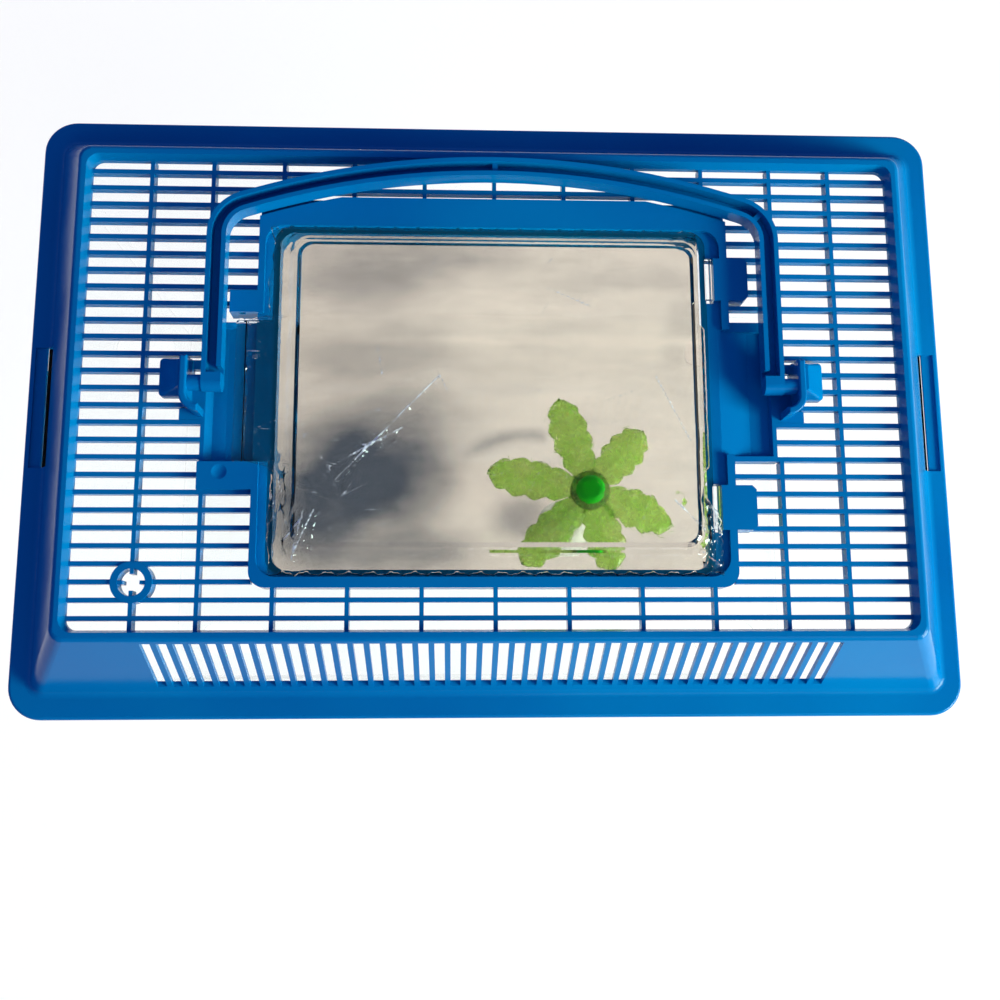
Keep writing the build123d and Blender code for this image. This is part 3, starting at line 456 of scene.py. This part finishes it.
# %% Shape the film
FILM_REST = 222.9
FILM_LIFT = 2.3
FILM_THIN = 0.12 * MM
FILM_STEP = 0.8
PILLOW_BOX = (-76.0, 77.6, -61.4, 58.3)
PLATE_BOX = (-82.5, 79.5, -69.3, 61.5)
# Short marks that carry painted glint lines.
GLINT_MARKS = 70
FILM_BACK = 62.0
FILM_FRONT = -70.0
FILM_WIDE = 172.0
CREASES = (
    (-58.5, -35.9, -20.6, 3.9, 0.75, 0.7), (-60.5, -31.0, -34.0, -16.0, 0.55, 0.6),
    (-21.3, 5.0, -17.6, -2.6, 0.6, 0.6), (-49.0, -23.0, -40.0, -20.5, 0.7, 0.6),
    (-73.9, -65.2, -69.1, -45.1, 1.3, 1.0), (-72.6, -62.0, -66.0, -47.0, 0.8, 0.7),
    (-76.5, -58.0, -70.0, -50.0, 0.8, 0.7), (-64.1, -26.7, -60.4, -32.2, 0.6, 0.6),
    (59.7, 4.5, 72.1, -20.4, 0.35, 0.8), (65.8, -43.0, 76.5, -54.0, 0.4, 0.7),
    (20.0, 38.0, 36.0, 31.0, 0.3, 0.8), (-44.0, 16.0, -42.0, 4.0, 0.35, 0.7),
    (-81.5, -28.6, -78.0, -40.0, 0.7, 0.7), (-84.0, -33.0, -80.0, -47.0, 0.8, 0.7),
    (-86.4, -32.3, -84.0, -45.0, 0.8, 0.8), (-86.0, -48.0, -82.8, -56.1, 0.9, 0.8),
    (79.7, -43.7, 83.5, -58.5, 0.7, 0.7), (75.8, -62.1, 82.0, -66.5, 0.6, 0.7),
    (-94.0, 25.5, -88.2, 24.5, 0.6, 0.6), (-92.5, 13.5, -87.8, 12.9, 0.4, 0.6))
# Patches of painted shadow and reflection on the film: centre x, y, reach x, y and how dark.
PAINTED_SHADOW_PATCHES = (
    (-62, -42, 26, 26, 0.95), (-30, -40, 15, 18, 0.62), (-27, -64, 22, 9, 0.5),
    (-40, -14, 30, 15, 0.5), (-48, 46, 34, 17, 0.45), (-42, 12, 34, 10, 0.35),
    (-10, 52, 26, 8, 0.22), (9, -47, 10, 8, 0.5), (48, 40, 34, 5, 0.16), (70, 20, 7, 20, 0.14))


def seg_distance(x, y, ax, ay, bx, by):
    """Distance from points to a stretch between two places, and how far along it they are."""
    dx, dy = bx - ax, by - ay
    t = np.clip(((x - ax) * dx + (y - ay) * dy) / (dx * dx + dy * dy), 0, 1)
    return np.hypot(x - ax - t * dx, y - ay - t * dy), t


def smooth(a, b, x):
    t = np.clip((x - a) / (b - a), 0, 1)
    return t * t * (3 - 2 * t)


def film_left(y):
    """Where the left edge of the film runs: out over the hinge plate, back at both ends."""
    plate = smooth(-30.5, -28.0, y) * (1 - smooth(25.0, 28.0, y))
    front = 1 - smooth(-34.0, -29.0, y)
    ragged = 0.8 * np.sin(y * 0.21) + 0.35 * np.sin(y * 0.63 + 1)
    return -84.2 - 8.2 * plate + 1.6 * front - ragged * (1 - plate) * (1 - 0.4 * front)


def film_right(y):
    """Where the right edge runs: inside the hatch at the back, out over its front corner."""
    flap = smooth(-40.0, -50.0, y)
    step = smooth(24.5, 23.0, y) * (1 - smooth(-30.0, -33.0, y))
    return 77.2 + 2.2 * step + 6.0 * flap + 0.4 * np.sin(y * 1.7) * flap


def film_height(x, y):
    x0, x1, y0, y1 = PILLOW_BOX
    inside = np.minimum(np.minimum(x - x0, x1 - x), np.minimum(y - y0, y1 - y))
    z = FILM_REST + FILM_LIFT * smooth(-2.6, 1.2, inside)
    rng = np.random.default_rng(7)
    for _ in range(14):
        kx, ky = rng.normal(0, 0.16, 2)
        z = z + 0.028 * np.sin(kx * x + ky * y + rng.uniform(0, 6.28))
    crumple = 1 - smooth(-70.0, -50.0, x) * smooth(-66, -50, y) * (1 - smooth(74, 82, x))
    for _ in range(10):
        kx, ky = rng.normal(0, 0.75, 2)
        z = z + 0.05 * crumple * np.sin(kx * x + ky * y + rng.uniform(0, 6.28))
    for ax, ay, bx, by, high, wide in CREASES:
        off, t = seg_distance(x, y, ax, ay, bx, by)
        along = (0.5 + 0.5 * np.sin(math.pi * t)) * (0.75 + 0.25 * np.sin(31 * t))
        z = z + 1.4 * high * np.exp(-off / wide) * along
    return z


def veil(x, y):
    """1 over the clear hatch, 0 where the film runs out over the blue lid and is only clear."""
    x0, x1, y0, y1 = PLATE_BOX
    inside = np.minimum(np.minimum(x - x0, x1 - x), np.minimum(y - y0, y1 - y))
    return smooth(-0.8, 0.8, inside)


def crease_gap(x, y):
    """How far a point is from the nearest sharp crease, in centimetres."""
    gaps = [seg_distance(x, y, *crease[:4])[0] for crease in CREASES]
    return np.minimum.reduce(gaps) / 10


def glint_mark_gap(x, y):
    """The same for many short marks all over the film, where painted glints are drawn."""
    rng = np.random.default_rng(11)
    gap = np.full(x.shape, 100.0)
    for _ in range(GLINT_MARKS):
        cx, cy = rng.uniform(-82, 78), rng.uniform(-66, 60)
        if rng.uniform() < 0.5:
            cx, cy = -60 + 0.3 * cx, -30 + 0.4 * cy
        way, half = rng.uniform(0, math.pi), rng.uniform(1.5, 6.0)
        dx, dy = half * math.cos(way), half * math.sin(way)
        gap = np.minimum(gap, seg_distance(x, y, cx - dx, cy - dy, cx + dx, cy + dy)[0])
    return gap / 10


def crumpled(x, y):
    """1 where the film is crushed: its left edge, two corners and a belt round each crease."""
    total = 0.10 + 0.55 * (1 - smooth(-86.5, -80.0, x)) + 0.5 * smooth(77.5, 81.0, x)
    for ax, ay, bx, by, high, _ in CREASES:
        total = total + high * np.exp(-(seg_distance(x, y, ax, ay, bx, by)[0] / 3.5) ** 2)
    for cx, cy in ((-81, 57), (74, 60), (-72, -60), (76, -62), (-60, -30)):
        total = total + 0.8 * np.exp(-((x - cx) ** 2 + (y - cy) ** 2) / 30)
    return np.clip(total, 0, 1)


def painted_shadow(x, y):
    """Painted shadow and reflection on the film, 0 clear to 1 dark: soft patches, one faint arc, one
    light band.
    """
    total = 0.09 + 0.025 * np.sin(0.11 * x - 0.21 * y) * np.sin(0.05 * x + 0.13 * y + 2)
    warp_x = 3.0 * np.sin(0.09 * y + 1.0) + 0.5 * np.sin(0.31 * x + 0.42 * y)
    warp_y = 2.4 * np.sin(0.08 * x + 0.4) + 0.5 * np.sin(0.37 * x - 0.28 * y)
    for cx, cy, rx, ry, much in PAINTED_SHADOW_PATCHES:
        spot = np.exp(-((x + warp_x - cx) / rx) ** 2 - ((y + warp_y - cy) / ry) ** 2)
        total = total + much * (0.5 * spot + 0.5 * smooth(0.1, 0.8, spot))
    ring = np.abs(np.hypot(x - 12, (y + 44) * 1.15) - 29)
    total = total + 0.42 * np.exp(-(ring / 3.2) ** 2) * smooth(-32, -20, y) * (1 - smooth(16, 22, x))
    # This band is painted lighter: a painted light streak on the film.
    total = total - 0.16 * np.exp(-((y - 17.5) / 2.0) ** 2) * smooth(-75, -20, x)
    return np.clip(total, 0, 1)


FILM_RULES = (("painted_shadow", painted_shadow), ("veil", veil), ("crumpled", crumpled),
              ("crease_gap", crease_gap), ("glint_mark_gap", glint_mark_gap))


def lay_film():
    rows = int((FILM_BACK - FILM_FRONT) / FILM_STEP) + 1
    columns = int(FILM_WIDE / FILM_STEP) + 1
    v, u = np.meshgrid(np.linspace(0, 1, rows), np.linspace(0, 1, columns), indexing="ij")
    y = FILM_FRONT + (FILM_BACK - FILM_FRONT) * v
    x = film_left(y) + (film_right(y) - film_left(y)) * u
    y = y + (0.5 * np.sin(x * 0.8) + 0.3 * np.sin(x * 2.1)) * (np.abs(v - 0.5) * 2) ** 8
    z = film_height(x, y)
    points = np.stack([x, y, z], axis=-1).reshape(-1, 3) * MM
    faces = [(r * columns + c, r * columns + c + 1, (r + 1) * columns + c + 1, (r + 1) * columns + c)
             for r in range(rows - 1) for c in range(columns - 1)]
    data = bpy.data.meshes.new("peel_film")
    data.from_pydata(points.tolist(), [], faces)
    for name, rule in FILM_RULES:
        data.attributes.new(name, "FLOAT", "POINT").data.foreach_set("value", rule(x, y).ravel())
    data.shade_smooth()
    film = bpy.data.objects.new("peel_film", data)
    bpy.context.scene.collection.objects.link(film)
    skin = film.modifiers.new("skin", "SOLIDIFY")
    skin.thickness = FILM_THIN
    skin.offset = 0
    widths = film_right(y) - film_left(y)
    narrow, wide = round(float(widths.min()), 1), round(float(widths.max()), 1)
    print("film", rows, "by", columns, "points,", narrow, "to", wide, "mm wide")
    return film


film = lay_film()

# %% [markdown]
# ## What the film looks like
#
# The film is clear but milky. It tints what lies behind it, from warm grey to dark patches
# that are painted shadow and reflection, so it is made as thin glass whose colour follows that
# painted shade, stored in the mesh. The white lines along its sharp creases are painted glints.
# Each point of the mesh knows how far away the nearest crease is, so the shader can paint such a
# line far finer than the mesh, broken by a noise.

# %% Finish the film
# The dark end of the film's tint is painted shadow and reflection.
FILM_WARM = (0.86, 0.73, 0.61)
FILM_PAINTED_SHADOW = (0.085, 0.095, 0.115)
FILM_CLEAR = (0.90, 0.92, 0.93)
# Painted glints along creases and marks: gap name, near, far and strength.
PAINTED_GLINT_LINES = (("crease_gap", 0.012, 0.042, 1.0), ("glint_mark_gap", 0.006, 0.026, 0.45))


def film_plastic():
    finish, tree, output = new_finish("peel_film_plastic")
    shader = add(tree, "BsdfPrincipled", IOR=1.42)
    # The film darkens where the mesh holds painted shadow and reflection, with streaks of noise.
    painted_shadow_value = add(tree, "Attribute", {"attribute_name": "painted_shadow"})
    streaks = object_noise(tree, 60, 4, stretch=(0.35, 1, 1), rough=0.6)
    drift = spread(tree, streaks, 0.3, 0.7, -0.1, 0.1)
    painted_shadow_and_streaks = add(tree, "Math", {"operation": "ADD", "use_clamp": True})
    tree.links.new(painted_shadow_value.outputs["Fac"], painted_shadow_and_streaks.inputs[0])
    tree.links.new(drift, painted_shadow_and_streaks.inputs[1])
    milky = add(tree, "Mix", {"data_type": "RGBA"})
    milky.inputs["A"].default_value = (*FILM_CLEAR, 1)
    over_window = add(tree, "Attribute", {"attribute_name": "veil"})
    tree.links.new(over_window.outputs["Fac"], milky.inputs["Factor"])
    tree.links.new(two_colours(tree, painted_shadow_and_streaks.outputs[0], FILM_WARM, FILM_PAINTED_SHADOW), milky.inputs["B"])
    # White painted glints: white base colour and less transmission near each crease and mark.
    white = add(tree, "Math", {"operation": "MAXIMUM"})
    for socket, (name, near, far, strong) in enumerate(PAINTED_GLINT_LINES):
        gap = add(tree, "Attribute", {"attribute_name": name})
        line = add(tree, "Math", {"operation": "MULTIPLY"})
        tree.links.new(spread(tree, gap.outputs["Fac"], near, far, strong, 0), line.inputs[0])
        tree.links.new(spread(tree, object_noise(tree, 190, 3), 0.36, 0.58, 0.05, 1), line.inputs[1])
        tree.links.new(line.outputs[0], white.inputs[socket])
    painted_glint_mix = add(tree, "Mix", {"data_type": "RGBA"})
    painted_glint_mix.inputs["B"].default_value = (0.95, 0.97, 0.98, 1)
    tree.links.new(milky.outputs["Result"], painted_glint_mix.inputs["A"])
    tree.links.new(white.outputs[0], painted_glint_mix.inputs["Factor"])
    tree.links.new(painted_glint_mix.outputs["Result"], shader.inputs["Base Color"])
    left_clear = spread(tree, white.outputs[0], 0.0, 1.0, 1.0, 0.2)
    tree.links.new(left_clear, shader.inputs["Transmission Weight"])
    tree.links.new(spread(tree, streaks, 0.3, 0.7, 0.0, 0.05), shader.inputs["Roughness"])
    crushed = add(tree, "Attribute", {"attribute_name": "crumpled"})
    place = add(tree, "TexCoord")
    facets = add(tree, "TexVoronoi", {"feature": "F1"}, Scale=330.0, Randomness=1.0)
    tree.links.new(place.outputs["Object"], facets.inputs["Vector"])
    height = add(tree, "Math", {"operation": "MULTIPLY"})
    tree.links.new(facets.outputs["Distance"], height.inputs[0])
    tree.links.new(crushed.outputs["Fac"], height.inputs[1])
    tree.links.new(bump(tree, height.outputs[0], 0.8, 0.002), shader.inputs["Normal"])
    let_lamps_through(tree, shader, output, (0.9, 0.9, 0.9))
    return finish


film.data.materials.append(film_plastic())
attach(film, "hatch")
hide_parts("hatch_film")

# %% [markdown]
# ## Floor and light
#
# The carrier stands on a plain pale floor. The floor shows white behind the slots because the
# camera, mirror and see-through rays meet a pale glow there, while the lamps still draw the
# carrier's shadow on it. A soft lamp close by on the right is the key, and the world fills.

# %% Lay the floor
FLOOR_HALF = 3.0


def seen_by_eye(tree):
    """1 for camera, mirror and see-through rays, which all end in the picture."""
    ray = add(tree, "LightPath")
    first = add(tree, "Math", {"operation": "MAXIMUM"})
    second = add(tree, "Math", {"operation": "MAXIMUM"})
    tree.links.new(ray.outputs["Is Camera Ray"], first.inputs[0])
    tree.links.new(ray.outputs["Is Glossy Ray"], first.inputs[1])
    tree.links.new(first.outputs[0], second.inputs[0])
    tree.links.new(ray.outputs["Is Transmission Ray"], second.inputs[1])
    return second.outputs[0]


def pale_floor():
    mesh = bpy.data.meshes.new("floor")
    h = FLOOR_HALF
    mesh.from_pydata([(-h, -h, 0), (h, -h, 0), (h, h, 0), (-h, h, 0)], [], [(0, 1, 2, 3)])
    floor = bpy.data.objects.new("floor", mesh)
    bpy.context.scene.collection.objects.link(floor)
    finish, tree, output = new_finish("pale_floor")
    matt = add(tree, "BsdfDiffuse", Color=(0.8, 0.8, 0.8, 1))
    glow = add(tree, "Emission", Color=(1, 1, 1, 1), Strength=0.92)
    faint = add(tree, "BsdfDiffuse", Color=(0.16, 0.16, 0.16, 1))
    seen = add(tree, "AddShader")
    mix = add(tree, "MixShader")
    tree.links.new(glow.outputs[0], seen.inputs[0])
    tree.links.new(faint.outputs[0], seen.inputs[1])
    tree.links.new(seen_by_eye(tree), mix.inputs["Fac"])
    tree.links.new(matt.outputs[0], mix.inputs[1])
    tree.links.new(seen.outputs[0], mix.inputs[2])
    tree.links.new(mix.outputs[0], output.inputs["Surface"])
    mesh.materials.append(finish)
    print("floor", 2 * FLOOR_HALF, "m wide")


pale_floor()

# %% Hang the lamps
def soft_lamp(name, place, target, size, power, colour=(1, 1, 1)):
    data = bpy.data.lights.new(name, "AREA")
    data.shape = "RECTANGLE"
    data.size, data.size_y = size
    data.energy = power
    data.color = colour
    lamp = bpy.data.objects.new(name, data)
    bpy.context.scene.collection.objects.link(lamp)
    aim = (Vector(target) - Vector(place)).to_track_quat("-Z", "Y")
    lamp.matrix_world = Matrix.Translation(place) @ aim.to_matrix().to_4x4()
    print("lamp", name, power, "W")


soft_lamp("key", (1.05, -0.50, 0.60), (0, 0, 0.2), (0.5, 0.5), 22, (0.80, 1.0, 0.90))
soft_lamp("front", (0.5, -1.3, 1.5), (0, 0, 0.15), (0.8, 0.8), 3, (0.75, 0.85, 1.0))

# %% [markdown]
# ## The room
#
# A world of one colour makes glossy plastic look washed out. A real room is dark overhead and
# paler near the horizon, so the glossy rays get that, the other rays get an even fill, and the
# camera sees white.

# %% Fill the room with light
def studio_world():
    world = bpy.data.worlds.new("studio")
    world.use_nodes = True
    tree = world.node_tree
    tree.nodes.clear()
    output = tree.nodes.new("ShaderNodeOutputWorld")
    fill = add(tree, "Background", Color=(0.34, 0.36, 1.0, 1), Strength=0.34)
    white = add(tree, "Background", Color=(1, 1, 1, 1), Strength=1.0)
    where = add(tree, "TexCoord")
    parts = add(tree, "SeparateXYZ")
    tree.links.new(where.outputs["Generated"], parts.inputs[0])
    height = spread(tree, parts.outputs["Z"], 0.05, 0.75, 0.16, 0.03)
    mirrored = add(tree, "Background", Color=(0.85, 0.93, 1.0, 1))
    tree.links.new(height, mirrored.inputs["Strength"])
    ray = add(tree, "LightPath")
    first, last = add(tree, "MixShader"), add(tree, "MixShader")
    tree.links.new(ray.outputs["Is Glossy Ray"], first.inputs["Fac"])
    tree.links.new(fill.outputs[0], first.inputs[1])
    tree.links.new(mirrored.outputs[0], first.inputs[2])
    tree.links.new(ray.outputs["Is Camera Ray"], last.inputs["Fac"])
    tree.links.new(first.outputs[0], last.inputs[1])
    tree.links.new(white.outputs[0], last.inputs[2])
    tree.links.new(last.outputs[0], output.inputs["Surface"])
    bpy.context.scene.world = world


studio_world()
bpy.context.scene.view_settings.view_transform = "Standard"
